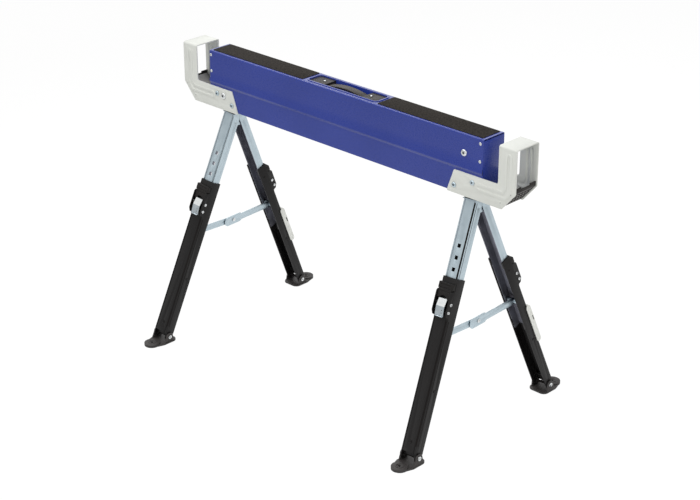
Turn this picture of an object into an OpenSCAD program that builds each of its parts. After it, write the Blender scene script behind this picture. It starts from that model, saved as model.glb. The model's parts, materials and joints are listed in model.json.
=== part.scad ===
/* [Beam] */
// Height of the working face above the floor
work_h = 735; // [680:1:800]
// Length of the folded beam
beam_l = 894; // [860:1:1000]
// Width of the beam over its side faces
beam_w = 71; // [68:0.5:90]
// Depth of the beam from its top skin to its lower edge
beam_h = 143.5; // [138:0.5:160]
// Thickness of the beam sheet
sheet_t = 1.5; // [1:0.1:2]
// Height of the foot of the rolled bead above the lower edge
bead_z = 55; // [54:0.5:62]
// Height of the bead band
bead_h = 23; // [14:0.5:26]
// How far the bead stands out of the side face
bead_out = 3.5; // [1:0.5:5]
// Width of the hem folded inwards along the lower edge
hem_w = 6; // [4:0.5:6.5]
// Length of the end plate's side flanges
end_flange = 16; // [14:0.5:20]
// Gap under the top skin above an end plate
end_gap = 2.5; // [1:0.5:4]
// Shank diameter of the end rivets
rivet_d = 4.8; // [4:0.1:6]
// Distance of the end rivets from the beam's right and left end
rivet_in = [8.8, 5.2]; // [5:0.1:10]
// Diameter of the end rivets' flanges
rivet_head = 7.4; // [6:0.1:10]
// Height of the upper and lower end rivets above the beam's lower edge
rivet_z = [90, 132]; // [80:1:134]

/* [Top] */
// Thickness of the grip pads
pad_t = 1.5; // [1:0.1:2.5]
// Gap between a grip pad and the tray's rim
pad_gap = 6; // [4:0.5:20]
// Width of the grip pads
pad_w = 60; // [40:1:62]
// Distance of the pads from the beam's ends
pad_in = 7; // [6:0.5:14]
// Corner radius of the grip pads
pad_r = 4; // [2:0.5:10]
// Length of the handle tray
tray_l = 226; // [215:1:232]
// Width of the handle tray
tray_w = 48; // [44:0.5:54]
// Depth of the handle tray below the working face
tray_d = 30; // [26:0.5:40]
// Corner radius of the handle tray
tray_r = 11; // [6:0.5:16]
// Wall of the handle tray
tray_t = 1.2; // [1:0.1:2]
// Width of the rim round the tray
rim_w = 3; // [2:0.5:4]
// Distance of a handle cap's screw from the middle
cap_x = 76; // [74:0.5:84]
// Length of a handle cap
cap_l = 30; // [26:0.5:34]
// Depth of the caps and the strap below the working face
cap_drop = 3; // [2.8:0.1:5]
// Thickness of the handle strap
strap_t = 4.5; // [3:0.5:6]
// Width of the handle strap
strap_w = 24; // [18:0.5:30]
// Rise of the strap's bow
strap_bow = 5; // [3:0.5:7]
// Diameter of the handle screws
screw_d = 5; // [4:0.1:6]

/* [End brackets] */
// Width of the timber slot between the beam and a bracket's limb
slot_w = 46; // [40:0.5:60]
// Depth of the timber slot below the working face
slot_d = 92; // [88:0.5:95]
// Width of a bracket's upright limb
limb_w = 50; // [40:0.5:60]
// Plate of the brackets
plate_t = 2.5; // [2:0.1:3]
// How far a bracket's arm laps the beam along its upper edge
arm_lap = 81; // [78:0.5:100]
// How far the arm's end slants along its lower edge
arm_slant = 20.5; // [10:0.5:28]
// How far the arm hangs below the beam
arm_drop = 3; // [1:0.5:6]
// Length and height of the slanted lower corner
corner_cut = [38, 44]; // [30:1:45]
// Diameter of the bracket bolts
bolt_d = 8; // [6:0.5:9]
// Distance of the bracket bolts inwards from the beam's end
bolt_in = [80, 27]; // [26:1:84]
// Height of the bracket bolts above the beam's lower edge
bolt_z = [16, 36]; // [14:0.5:38]
// Wall of a bracket insert
insert_t = 2.5; // [2:0.1:3]
// Dip in the middle of a bracket insert's end wall
insert_dip = 4; // [2:0.5:8]
// Depth of the cells in a bracket insert
cell_t = 3; // [2:0.5:4]
// Radius of the bend inside a bracket's corner
bend_r = 6; // [3:0.5:10]
// Width of the embossed rib on a bracket
rib_w = 20; // [15:0.5:21]
// Distance of the rib below a bracket's top
rib_drop = 14; // [10:0.5:20]
// Height of the rib and dimples above a bracket's face
rib_h = 1; // [0.5:0.1:1.2]
// Diameter of the dimples in a bracket's lower corner
dimple_d = 5; // [4:0.5:7]
// Outer radius of the bend along a bracket's top
top_r = 5; // [3:0.5:8]

/* [Leg pairs] */
// Spread of a leg from upright
spread = 22.9; // [18:0.1:24]
// Outward lean of a leg pair along the beam
splay = 3.4; // [1:0.1:5]
// Distance of a leg pair's hinge inwards from the beam's end
pair_in = 46.2; // [43:0.1:50]
// Height of the leg hinges below the beam
hinge_drop = 37; // [36:0.5:44]
// Diameter of the leg hinge pins
hinge_d = 8; // [6:0.5:9]
// Height of the fold bolt above the hinge on the right and left pair
fold_h = [136.5, 72]; // [66:0.5:138]
// Diameter of the fold bolts
fold_d = 10; // [8:0.5:11]
// Vertical step between height settings
step_h = 25.4; // [22:0.1:26]
// Number of height settings
step_n = 8; // [7:1:8]
// Setting that is latched, counted from the top hole
step_set = 5; // [4:1:6]
// Distance of the top hole below the hinge
first_hole = 90; // [84:0.5:96]
// Side of the square height holes
hole_w = 9; // [8.6:0.1:11]

/* [Leg channels] */
// Width of the upper leg channel
upper_w = 38; // [36:0.5:44]
// Depth of the upper leg channel
upper_d = 22; // [20:0.5:24]
// Sheet of the upper leg
upper_t = 1.8; // [1.4:0.1:2.2]
// Length of the upper leg below its hinge
upper_l = 392; // [370:1:410]
// Distance of the end of a lower leg's web above its foot pin
web_end = 8; // [7:0.5:12]
// Sheet of the lower leg
lower_t = 2; // [1.5:0.1:2.5]
// Sliding gap between the leg channels
slide_gap = 0.5; // [0.3:0.05:0.8]
// Length of the retaining lips
lip_l = 20; // [12:1:30]
// How far a lip reaches in past the wall
lip_w = 3; // [2:0.25:3.5]
// Distance of the pressed grooves from a leg's long corners
groove_in = 5; // [4:0.25:6]
// Width of the pressed grooves
groove_w = 2.4; // [1.5:0.1:3]
// Depth of the pressed grooves
groove_t = 0.8; // [0.5:0.1:1]
// Reach of the flange bent out at the top of an upper leg
flange_w = 5; // [3:0.5:6]
// Gap to the middle plane when the legs are closed
close_gap = 0.5; // [0.3:0.05:1]

/* [Latch] */
// Length of the lower leg above the latch plunger
latch_head = 64; // [60:0.5:68]
// How far the ears stand out of the leg
ear_out = 13; // [13:0.5:16]
// Length of the ears' softened corners
ear_soft = 7; // [5:0.5:9]
// Reach of the ears above and below the plunger
ear_reach = [36, 27]; // [24:0.5:38]
// Diameter of the plunger
plunger_d = 8; // [7:0.1:8]
// Distance of the lever's pivot below the plunger
pivot_drop = 14; // [13:0.5:16]
// Diameter of the lever's pivot pin
pivot_d = 5; // [4:0.1:6]
// Width of the lever
lever_w = 24; // [20:0.5:26]
// How far the lever's bend stands out of the leg
lever_out = 12.5; // [11:0.5:13]
// Sheet of the lever
lever_t = 1.6; // [1.2:0.1:2]
// Length of the lever's thumb tongue above the plunger
tongue_l = 15; // [12:0.5:18]
// Distance of the lever's bend below the plunger
bend_drop = 3; // [1:0.5:4]
// How far the lever leans in at its top and its bottom
lean_in = [4, 2.5]; // [1:0.5:5]
// Length of the lever's pad below its pivot
pad_drop = 12; // [9:0.5:14]
// Distance of the latch cover below the leg's top
cover_drop = 12; // [10:0.5:14]
// How far the latch cover stands out of the leg
cover_out = 10; // [8:0.5:11]
// Number of ribs on the latch cover
cover_ribs = 3; // [2:1:4]

/* [Stays] */
// Distance of the stay pins below the hinge
stay_u = 303; // [298:0.5:308]
// Diameter of the stay pins
stay_d = 6; // [5:0.1:7]
// Drop of the stay's middle pivot below straight
stay_drop = 5; // [3:0.5:8]
// Height of a stay link
link_h = 14; // [12:0.5:16]
// Height of the widened middle of the stay
link_wide = 20; // [18:0.5:21]
// How far the widened middle reaches each side of the pivot
link_reach = 30; // [24:0.5:31]
// Plate of the stay links
link_t = 2.5; // [2:0.1:3]

/* [Feet] */
// Height of a foot's pin above the floor
foot_pin_z = 18; // [17:0.5:22]
// Diameter of the foot pins
foot_d = 6; // [5:0.1:7]
// Thickness of the foot's sole
sole_t = 4; // [3:0.25:4.5]
// Reach of the sole behind the pin
heel_l = 25; // [20:0.5:28]
// Corner radius of the heel
heel_r = 14; // [8:0.5:16]
// Reach of the sole in front of the pin
toe_l = 59; // [54:0.5:66]
// Width of the toe
toe_w = 40; // [34:0.5:46]
// Thickness of the toe
toe_t = 7; // [6:0.25:9]
// Screw hole in the toe
toe_hole = 7; // [5:0.5:9]
// Sheet of the foot's lugs
lug_t = 3; // [2.5:0.25:4]

/* [Cord hooks] */
// Length of a cord hook
hook_l = 116; // [90:1:125]
// Depth of a cord hook from its outer face to the edge of its cheeks
hook_d = 14; // [12:0.5:18]
// How far a cord hook stands out of the leg
hook_out = 8; // [6:0.5:9]
// Thickness of a cord hook's cheeks
hook_t = 2.5; // [2:0.1:4]
// Height and width of the slot through a cord hook
hook_slot = [14, 3]; // [2:0.5:18]
// Distance of the hook below the plunger
hook_drop = 98; // [80:1:110]

/* [Clearances] */
// Radial gap of a pin that turns or slides
run_gap = 0.08; // [0.05:0.01:0.1]
// Radial gap of a pin that is fixed
fix_gap = 0.05; // [0.02:0.01:0.1]
// Side gap between parts that move past each other
side_gap = 0.5; // [0.3:0.05:0.8]
// Gap round parts that drop into a cut-out
drop_gap = 0.3; // [0.2:0.05:0.5]

/* [Hidden] */
$fn = 48;
eps = 1;
blue = "#434f93";
black = "#2b2a2b";
zinc = "#c3cfd8";
white = "#d3d6d0";

half_l = beam_l / 2;
half_w = beam_w / 2;
skin_z = work_h - pad_t;
beam_z = skin_z - beam_h;
tray_floor = work_h - tray_d + tray_t;
cap_top = work_h - cap_drop;
strap_z = cap_top - strap_bow - strap_t;
pad_l = half_l - pad_in - tray_l / 2 - rim_w - pad_gap;
pad_mid = half_l - pad_in - pad_l / 2;
pair_x = half_l - pair_in;
edge_r = sheet_t + end_gap;

arm_top = work_h - slot_d;
arm_bot = beam_z - arm_drop;
limb_x = half_l + slot_w;
limb_end = limb_x + limb_w;
tip_x = half_l - arm_lap;
plate_y = half_w + plate_t;
rib_z = arm_top - rib_w * 1.15;
rib_x = limb_x + limb_w * 0.56;
rib_start = half_l - bolt_in[1] + bolt_d + rib_w / 2;
rib_end = work_h - rib_drop - rib_w / 2;
dimple_at = [[rib_x + rib_w / 2, rib_z + rib_w * 0.45], [limb_x + dimple_d * 1.6, arm_bot + dimple_d * 3.2]];
head_h = 2.6;
nut_h = 6;
bolt_head = 1.8;

hinge_z = beam_z - hinge_drop;
lower_w = upper_w + 2 * (slide_gap + lower_t);
lip_back = upper_d / 2 - 1 + slide_gap;
lower_in = lip_back + lower_t;
pin_y = lower_in + close_gap;
upper_back = upper_d / 2 + 1;
upper_in = upper_d - upper_back;
lower_back = upper_back + slide_gap + lower_t;
leg_fall = cos(spread) * cos(splay);
pitch = step_h / leg_fall;
latch_u = first_hole + step_set * pitch;
lower_top = latch_u - latch_head;
foot_u = (hinge_z - foot_pin_z) / leg_fall;
lower_end = foot_u - web_end;
foot_x = pair_x + foot_u * cos(spread) * sin(splay);
foot_y = pin_y + foot_u * sin(spread);
leg_top = 34;
web_top = 18;
mitre = pin_y - close_gap / 2;
mitre_low = (mitre - upper_in * cos(spread)) / sin(spread);
mitre_in = (mitre - leg_top * sin(spread)) / cos(spread);
wall_r = foot_pin_z - sole_t - lower_w / 2 * sin(splay) - side_gap;

yoke_t = 3;
yoke_w = upper_w - 2 * (upper_t + side_gap + 0.7);
yoke_low = 12;
yoke_wide = pin_y + hinge_d / 2 + 3;
yoke_neck = 14;
sleeve_r = fold_d / 2 + 4;

ear_v = lower_back + ear_out;
ear_top = latch_u - ear_reach[0];
ear_end = latch_u + ear_reach[1];
pivot_u = latch_u + pivot_drop;
pivot_v = lower_back + pivot_d / 2 + 3;
lever_v = lower_back + lever_out;
stud_u = latch_u - 4.5;
stud_v = lower_back + 3.5;
cover_top = lower_top + cover_drop;
cover_end = ear_top - side_gap;
cover_v = lower_back + cover_out;
skirt_end = latch_u - tongue_l - side_gap;
arch_r = lever_w / 2 + 1;
plunger_head = 2.5;
plunger_top = lever_v - lever_t - 2;

stay_y = pin_y + stay_u * sin(spread);
stay_z = stay_u * cos(spread);
link_l = norm([stay_y, stay_drop]);
link_a = atan(stay_drop / stay_y);
eye_r = stay_d / 2 + 2.5;
eye_l = upper_w - 2 * (upper_t + side_gap + 0.7);
link_gap = 0.3;

lug_x = lower_w / 2 + side_gap;
lug_r = 11;
foot_w = 2 * (lug_x + lug_t);
sole_w = foot_w + lug_t;
hook_u = latch_u + hook_drop;
hook_v = hook_d / 2 - lower_back - hook_out;

SIDES = ["right", "left"];
ENDS = ["front", "rear"];

// Frames: an end of the beam, a leg pair about its hinge, and one leg hanging from its pin
module at_end(side) {
    if (side == "right") children();
    else mirror([1, 0, 0]) children();
}

module both_ends() {
    for (side = SIDES) at_end(side) children();
}

module both_faces() {
    children();
    mirror([0, 1, 0]) children();
}

module at_pair(side) {
    at_end(side) translate([pair_x, 0, hinge_z]) rotate([0, -splay, 0]) children();
}

module to_end(end) {
    if (end == "front") children();
    else mirror([0, 1, 0]) children();
}

module at_leg(side, end) {
    at_pair(side) to_end(end) translate([0, -pin_y, 0]) rotate([-spread, 0, 0]) children();
}

// Outlines drawn in the side view of a beam or leg and given a thickness
module along_x(l) {
    rotate([90, 0, 90]) linear_extrude(l, center = true) children();
}

module across_y(y, t) {
    translate([0, y + t, 0]) rotate([90, 0, 0]) linear_extrude(t) children();
}

module rod_x(d, l) {
    rotate([0, 90, 0]) cylinder(d = d, h = l, center = true);
}

module rod_y(d, y0, y1) {
    translate([0, y0, 0]) rotate([-90, 0, 0]) cylinder(d = d, h = y1 - y0);
}

// A box given by its middle in x, its near corner in y and z, and its size
module slab(x, y, z, size) {
    translate([x - size[0] / 2, y, z]) cube(size);
}

module slot_2d(p, q, w) {
    translate(p) circle(d = w);
    translate(q) circle(d = w);
    run = q - p;
    translate(p) rotate(atan2(run[1], run[0])) translate([0, -w / 2]) square([norm(run), w]);
}

// Folded beam
function beam_side(inset, low) = [
    [half_w - inset, low],
    [half_w - inset, beam_z + bead_z],
    [half_w + bead_out - inset, beam_z + bead_z + bead_h * 0.4],
    [half_w - inset, beam_z + bead_z + bead_h],
    for (a = [0:15:90]) [
        half_w - edge_r + (edge_r - inset) * cos(a),
        skin_z - edge_r + (edge_r - inset) * sin(a)
    ]
];

module beam_outline(inset, low) {
    side = beam_side(inset, low);
    last = len(side) - 1;
    polygon(concat(side, [for (i = [last:-1:0]) [-side[i][0], side[i][1]]]));
}

module beam_shell() color(blue) difference() {
    union() {
        difference() {
            along_x(beam_l) beam_outline(0, beam_z);
            along_x(beam_l + 2 * eps) beam_outline(sheet_t, beam_z - eps);
        }
        both_faces() slab(0, half_w - hem_w, beam_z, [beam_l, hem_w - sheet_t / 2, sheet_t]);
    }
    translate([0, 0, skin_z - sheet_t - eps]) linear_extrude(sheet_t + 2 * eps) tray_2d(drop_gap);
    beam_bores(fix_gap);
}

// Every bore through the beam's side faces
module beam_bores(gap) {
    both_ends() for (i = [0, 1])
        translate([half_l - bolt_in[i], 0, beam_z + bolt_z[i]])
            rod_y(bolt_d + 2 * gap, -half_w - eps, half_w + eps);
    for (i = [0, 1], z = rivet_z)
        at_end(SIDES[i]) translate([half_l - rivet_in[i], 0, beam_z + z])
            rod_y(rivet_d + 2 * gap, -half_w - eps, half_w + eps);
    for (i = [0, 1])
        at_pair(SIDES[i]) translate([0, 0, fold_h[i]]) rod_y(fold_d + 2 * gap, -plate_y, plate_y);
}

module end_plate(side) difference() {
    inner = half_w - sheet_t;
    top = skin_z - sheet_t - end_gap;
    at_end(side) {
        slab(half_l - sheet_t / 2, -inner, beam_z + sheet_t, [sheet_t, 2 * inner, top - beam_z - sheet_t]);
        both_faces()
            slab(half_l - end_flange / 2, inner - sheet_t, beam_z + bead_z + bead_h,
                [end_flange, sheet_t, top - beam_z - bead_z - bead_h]);
    }
    beam_bores(fix_gap);
}

module end_plates() color(blue) for (side = SIDES) end_plate(side);

module end_rivets() color(zinc) for (i = [0, 1], z = rivet_z)
    at_end(SIDES[i]) both_faces() translate([half_l - rivet_in[i], 0, beam_z + z]) {
        rod_y(rivet_d, half_w - 2 * sheet_t - eps, half_w + bolt_head / 2);
        rod_y(rivet_head, half_w, half_w + bolt_head / 2);
        rod_y((rivet_head + rivet_d) / 2, half_w, half_w + bolt_head);
    }

// Working face and handle
module grip_pads() color(black) both_ends() translate([pad_mid, 0, skin_z]) linear_extrude(pad_t)
    round_2d(pad_l, pad_w, pad_r);

// A rectangle with round corners, and the plan of the tray grown or shrunk all round
module round_2d(l, w, r) {
    x = l / 2 - r;
    y = w / 2 - r;
    translate([-x - r, -y]) square([2 * (x + r), 2 * y]);
    translate([-x, -y - r]) square([2 * x, 2 * (y + r)]);
    for (p = [[x, y], [-x, y], [-x, -y], [x, -y]]) translate(p) circle(r = r);
}

module tray_2d(grow) {
    round_2d(tray_l + 2 * grow, tray_w + 2 * grow, tray_r + grow);
}

module handle_tray() color(blue) difference() {
    union() {
        translate([0, 0, work_h - tray_d]) linear_extrude(tray_d) tray_2d(0);
        translate([0, 0, skin_z]) linear_extrude(pad_t) tray_2d(rim_w);
    }
    translate([0, 0, tray_floor]) linear_extrude(tray_d) tray_2d(-tray_t);
    for (x = [-cap_x, cap_x])
        translate([x, 0, work_h - tray_d - eps]) cylinder(d = screw_d + 2 * fix_gap, h = tray_t + 2 * eps);
}

module handle_caps() color(black) both_ends() difference() {
    intersection() {
        translate([0, 0, tray_floor]) linear_extrude(cap_top - tray_floor) tray_2d(-tray_t - drop_gap);
        slab(cap_x + cap_l / 2, -tray_w / 2, 0, [2 * cap_l, tray_w, work_h]);
    }
    slab(cap_x - cap_l / 4, -strap_w / 2 - drop_gap, strap_z,
        [cap_l, strap_w + 2 * drop_gap, strap_t]);
    translate([cap_x, 0, tray_floor - eps]) cylinder(d = screw_d + 2 * fix_gap, h = tray_d);
}

module handle_strap() color(black) {
    grip = cap_x - cap_l / 2;
    bow_r = (pow(grip, 2) + pow(strap_bow, 2)) / (2 * strap_bow);
    tail = cap_l * 3 / 4 - drop_gap;
    both_ends() difference() {
        slab(grip + tail / 2, -strap_w / 2, strap_z, [tail, strap_w, strap_t]);
        translate([cap_x, 0, strap_z - eps]) cylinder(d = screw_d + 2 * fix_gap, h = strap_t + 2 * eps);
    }
    intersection() {
        slab(0, -strap_w / 2, strap_z, [2 * grip, strap_w, 2 * strap_bow + strap_t]);
        across_y(-strap_w / 2, strap_w) translate([0, strap_z + strap_bow - bow_r]) difference() {
            circle(r = bow_r + strap_t, $fn = 180);
            circle(r = bow_r, $fn = 180);
        }
    }
}

module handle_screws() color(zinc) both_ends() translate([cap_x, 0, 0]) {
    translate([0, 0, work_h - tray_d]) cylinder(d = screw_d, h = cap_top - work_h + tray_d);
    translate([0, 0, cap_top]) cylinder(d = 2 * screw_d, h = head_h);
}

// End brackets: two plates and the web that joins them over the limb
module bracket_2d() {
    difference() {
        union() {
            offset(r = top_r / 2) offset(delta = -top_r / 2) polygon([
                [tip_x, arm_top], [tip_x - arm_slant, arm_bot], [limb_end - corner_cut[0], arm_bot],
                [limb_end, arm_bot + corner_cut[1]], [limb_end, work_h], [limb_x, work_h], [limb_x, arm_top]
            ]);
            translate([limb_x, work_h - 2 * top_r]) square([limb_w, 2 * top_r]);
        }
        for (i = [0, 1])
            translate([half_l - bolt_in[i], beam_z + bolt_z[i]]) circle(d = bolt_d + 2 * fix_gap);
    }
    difference() {
        translate([limb_x - bend_r, arm_top]) square(bend_r);
        translate([limb_x - bend_r, arm_top + bend_r]) circle(r = bend_r);
    }
}

module rib_2d(w) {
    polygon([
        [rib_start, rib_z - w / 2], [rib_x - rib_w / 2 + w / 4, rib_z - w / 2], [rib_x + w / 2, rib_z + rib_w / 2],
        [rib_x + w / 2, rib_end], [rib_x - w / 2, rib_end], [rib_x - w / 2, rib_z + rib_w],
        [rib_x - rib_w / 2 - w / 4, rib_z + w / 2], [rib_start, rib_z + w / 2]
    ]);
    for (p = [[rib_start, rib_z], [rib_x, rib_end]]) translate(p) circle(d = w);
}

module bracket_rib_2d() {
    difference() {
        rib_2d(rib_w);
        rib_2d(rib_w / 3);
    }
    for (p = dimple_at) translate(p) circle(d = dimple_d);
}

module bracket(side) color(white) difference() {
    at_end(side) {
        both_faces() {
            across_y(half_w, plate_t) bracket_2d();
            across_y(plate_y, rib_h) bracket_rib_2d();
        }
        slab(limb_x + limb_w / 2, -plate_y, work_h - plate_t, [limb_w, 2 * plate_y, plate_t]);
    }
    beam_bores(fix_gap);
    at_end(side) both_faces() translate([limb_x + limb_w / 2, plate_y - top_r, work_h - top_r])
        along_x(limb_w + 2 * eps) difference() {
            square(top_r + eps);
            circle(r = top_r);
        }
}

module insert_2d() {
    near = half_l + plate_t;
    far = limb_end - plate_t;
    low = arm_bot + plate_t;
    foot = limb_end - corner_cut[0] - plate_t;
    rise = arm_bot + corner_cut[1] + plate_t / 2;
    thick = insert_t + cell_t;
    polygon([
        [near, low + insert_t], [near, low], [foot, low], [far, rise], [far, arm_top],
        [far - insert_t, arm_top], [far - insert_t, rise + thick / 2], [foot - thick / 2, low + insert_t]
    ]);
}

module bracket_insert(side) color(black) at_end(side) {
    cell = half_w / 3.5;
    fall = atan2(corner_cut[1], corner_cut[0]);
    difference() {
        across_y(-half_w + drop_gap, beam_w - 2 * drop_gap) insert_2d();
        slab(limb_end, -half_w + 2 * cell, arm_top - insert_dip, [2 * limb_w, beam_w - 4 * cell, limb_w]);
        translate([limb_end - corner_cut[0] - plate_t, 0, arm_bot + plate_t]) rotate([0, -fall, 0])
            for (row = [0:2], col = [-3:3])
                slab((row + 0.8) * norm(corner_cut) / 3.8, (col - 0.4) * cell, -eps,
                    [norm(corner_cut) / 5, cell * 0.8, eps + cell_t]);
    }
}

module bracket_bolts() color(zinc) both_ends() both_faces() for (i = [0, 1])
    translate([half_l - bolt_in[i], 0, beam_z + bolt_z[i]]) {
        rod_y(bolt_d, half_w - sheet_t - nut_h, plate_y);
        rod_y(1.7 * bolt_d, plate_y, plate_y + head_h);
        rotate([0, 15, 0]) translate([0, half_w - sheet_t - nut_h, 0]) rotate([-90, 0, 0])
            cylinder(d = 1.9 * bolt_d, h = nut_h, $fn = 6);
    }

// Yokes that hang the leg pairs from the fold bolts
module yoke(side) color(zinc) at_pair(side) {
    high = fold_h[side == "right" ? 0 : 1];
    difference() {
        union() {
            for (x = [yoke_t - yoke_w, yoke_w - yoke_t] / 2) {
                slab(x, -yoke_wide, -yoke_low, [yoke_t, 2 * yoke_wide, yoke_low + 4]);
                slab(x, -yoke_neck, 0, [yoke_t, 2 * yoke_neck, high + yoke_t / 2]);
            }
            for (z = [leg_top, high]) slab(0, -yoke_neck, z - yoke_t / 2, [yoke_w, 2 * yoke_neck, yoke_t]);
            translate([0, 0, high]) rod_y(2 * sleeve_r, drop_gap + sheet_t - half_w, half_w - sheet_t - drop_gap);
        }
        translate([0, 0, high]) rod_y(fold_d + 2 * fix_gap, -half_w, half_w);
        for (y = [-pin_y, pin_y]) translate([0, y, 0]) rod_x(hinge_d + 2 * run_gap, yoke_w + 2 * eps);
    }
}

module fold_bolts() color(zinc) for (i = [0, 1]) at_pair(SIDES[i]) translate([0, 0, fold_h[i]]) {
    seat = i == 0 ? half_w : plate_y;
    rod_y(fold_d, -seat, seat);
    both_faces() {
        rod_y(1.6 * fold_d, seat, seat + head_h);
        rod_y(fold_d, seat, seat + head_h + bolt_head / 2);
    }
}

// Upper leg channel, open towards the other leg and cut to meet it under the beam
module upper_leg(side, end) color(zinc) at_leg(side, end) difference() {
    union() {
        for (x = [upper_t - upper_w, upper_w - upper_t] / 2)
            translate([x, 0, 0]) along_x(upper_t) polygon([
                [-upper_back, -upper_l], [upper_in, -upper_l], [upper_in, mitre_low],
                [mitre_in, leg_top], [-upper_back, leg_top]
            ]);
        slab(0, -upper_back, -upper_l, [upper_w, upper_t, upper_l + web_top]);
        slab(0, -upper_back - flange_w, web_top - upper_t, [upper_w, flange_w + upper_t, upper_t]);
    }
    rod_x(hinge_d + 2 * fix_gap, upper_w + 2 * eps);
    translate([0, 0, -stay_u]) rod_x(stay_d + 2 * fix_gap, upper_w + 2 * eps);
    for (i = [0:step_n - 1])
        slab(0, -upper_back - eps, -first_hole - i * pitch - hole_w / 2, [hole_w, upper_t + 2 * eps, hole_w]);
    corner_cuts(upper_w, upper_back, upper_t, 2 * upper_t - web_top, upper_l);
    grooves(upper_w, upper_back, 2 * upper_t - web_top, upper_l);
}

// Pressed grooves along the outer face of a leg between two distances below the hinge
module grooves(w, back, from, to) {
    for (s = [-1, 1])
        slab(s * (w / 2 - groove_in), -back - eps, -to - eps, [groove_w, eps + groove_t, to - from + 2 * eps]);
}

// Rounds the two long outer corners of a leg between two distances below the hinge
module corner_cuts(w, back, r, from, to) {
    for (side = [0, 1]) mirror([side, 0, 0])
        translate([w / 2 - r, r - back, -to - eps]) difference() {
            translate([0, -r - eps, 0]) cube([r + eps, r + eps, to - from + 2 * eps]);
            translate([0, 0, -eps]) cylinder(r = r, h = to - from + 4 * eps);
        }
}

module upper_leg_pins(side, end) color(zinc) at_leg(side, end) {
    rod_x(hinge_d, upper_w);
    translate([0, 0, -stay_u]) rod_x(stay_d, upper_w);
}

// Lower leg channel with the ears that carry the latch
module lower_side_2d() {
    difference() {
        union() {
            polygon([
                [lower_in, -lower_top], [-lower_back, -lower_top], [-lower_back, -ear_top],
                [ear_soft * 0.3 - ear_v, -ear_top - ear_soft * 0.4], [-ear_v, -ear_top - ear_soft],
                [-ear_v, ear_soft * 1.6 - ear_end], [ear_soft * 0.8 - ear_v, ear_soft * 0.2 - ear_end],
                [-lower_back, -ear_end],
                [-lower_back, -lower_end], [lower_in, -lower_end]
            ]);
            translate([0, -foot_u]) circle(r = wall_r);
            translate([eps - wall_r, -foot_u]) square([2 * (wall_r - eps), foot_u - lower_end + eps]);
        }
        translate([0, -foot_u]) circle(d = foot_d + 2 * fix_gap);
        translate([-pivot_v, -pivot_u]) circle(d = pivot_d + 2 * fix_gap);
        translate([-stud_v, -stud_u]) circle(d = pivot_d + 2 * fix_gap);
        translate([0, -latch_u - 1.7 * hook_l]) circle(d = pivot_d);
    }
}

module lower_leg(side, end) color(black) at_leg(side, end) difference() {
    union() {
        for (x = [lower_t - lower_w, lower_w - lower_t] / 2) translate([x, 0, 0]) along_x(lower_t) lower_side_2d();
        slab(0, -lower_back, -lower_end, [lower_w, lower_t, lower_end - lower_top]);
        for (u = [lower_top + lip_l, upper_l - lip_l / 2], s = [-1, 1])
            slab(s * (lower_w - lower_t - lip_w) / 2, lip_back, -u, [lower_t + lip_w, lower_t, lip_l - 2]);
    }
    translate([0, 0, -latch_u]) rod_y(plunger_d + 2 * run_gap, -lower_back - eps, 0);
    translate([0, 0, -lower_end + 4 * foot_d]) rod_y(foot_d, -lower_back - eps, 0);
    corner_cuts(lower_w, lower_back, lower_t, ear_end + 2 * lower_t, lower_end);
    grooves(lower_w, lower_back, ear_end + 2 * lower_t, lower_end);
}

module lower_leg_pins(side, end) color(zinc) at_leg(side, end) {
    pin_l = lower_w + 2 * (side_gap + lug_t) + 2 * run_gap;
    translate([0, 0, -foot_u]) {
        rod_x(foot_d, pin_l);
        for (s = [-1, 1]) translate([s * (pin_l + bolt_head) / 2, 0, 0]) rod_x(1.7 * foot_d, bolt_head);
    }
    translate([0, -pivot_v, -pivot_u]) {
        rod_x(pivot_d, lower_w);
        for (s = [-1, 1]) translate([s * (lower_w + bolt_head) / 2, 0, 0]) rod_x(1.4 * pivot_d, bolt_head);
    }
    for (s = [-1, 1]) translate([s * (lower_w - lower_t) / 2, -stud_v, -stud_u]) {
        rod_x(pivot_d, lower_t);
        for (m = [-1, 1]) translate([m * (lower_t + bolt_head) / 2, 0, 0]) rod_x(1.4 * pivot_d, bolt_head);
    }
}

module latch_cover(side, end) color(black) at_leg(side, end) difference() {
    step = (skirt_end - arch_r / 2 - cover_top) / (cover_ribs + 1);
    union() {
        along_x(lower_w - 2 * side_gap) polygon([
            [-lower_back, -cover_top], [-cover_v, -cover_top - eps], [-cover_v, -cover_end], [-lower_back, -cover_end]
        ]);
        slab(0, -cover_v, -skirt_end, [lower_w - 2 * (lower_t + side_gap), cover_out, skirt_end - cover_end + eps]);
    }
    for (i = [1:cover_ribs])
        slab(0, -cover_v - eps, -cover_top - i * step, [lower_w * 0.7, 2 * eps, step / 3]);
    translate([0, 0, -skirt_end - arch_r / 2]) rod_y(2 * arch_r, -cover_v - eps, lever_t - lower_back);
}

// Latch lever: a bent pad with a thumb tongue above and two flanges on the pivot
module lever_2d() {
    high = tongue_l - latch_u;
    bend = -latch_u - bend_drop;
    low = -pivot_u - pad_drop;
    polygon([
        [lean_in[0] - lever_v, high], [lean_in[0] - lever_v + lever_t, high], [lever_t - lever_v, bend],
        [lean_in[1] + lever_t - lever_v, low], [lean_in[1] - lever_v, low], [-lever_v, bend]
    ]);
}

module lever_flange_2d() {
    difference() {
        union() {
            translate([-pivot_v, -pivot_u]) circle(r = pivot_d / 2 + 2);
            polygon([
                [-lever_v, -latch_u - bend_drop], [lean_in[1] - lever_v, eps - pivot_u - pad_drop],
                [-pivot_v, -pivot_u - pivot_d / 2 - 2], [-pivot_v, pivot_d / 2 + 2 - pivot_u]
            ]);
        }
        translate([-pivot_v, -pivot_u]) circle(d = pivot_d + 2 * run_gap);
    }
}

module latch_lever(side, end) color(zinc) at_leg(side, end) {
    along_x(lever_w) lever_2d();
    for (x = [lever_t - lever_w, lever_w - lever_t] / 2)
        translate([x, 0, 0]) along_x(lever_t) lever_flange_2d();
}

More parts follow.
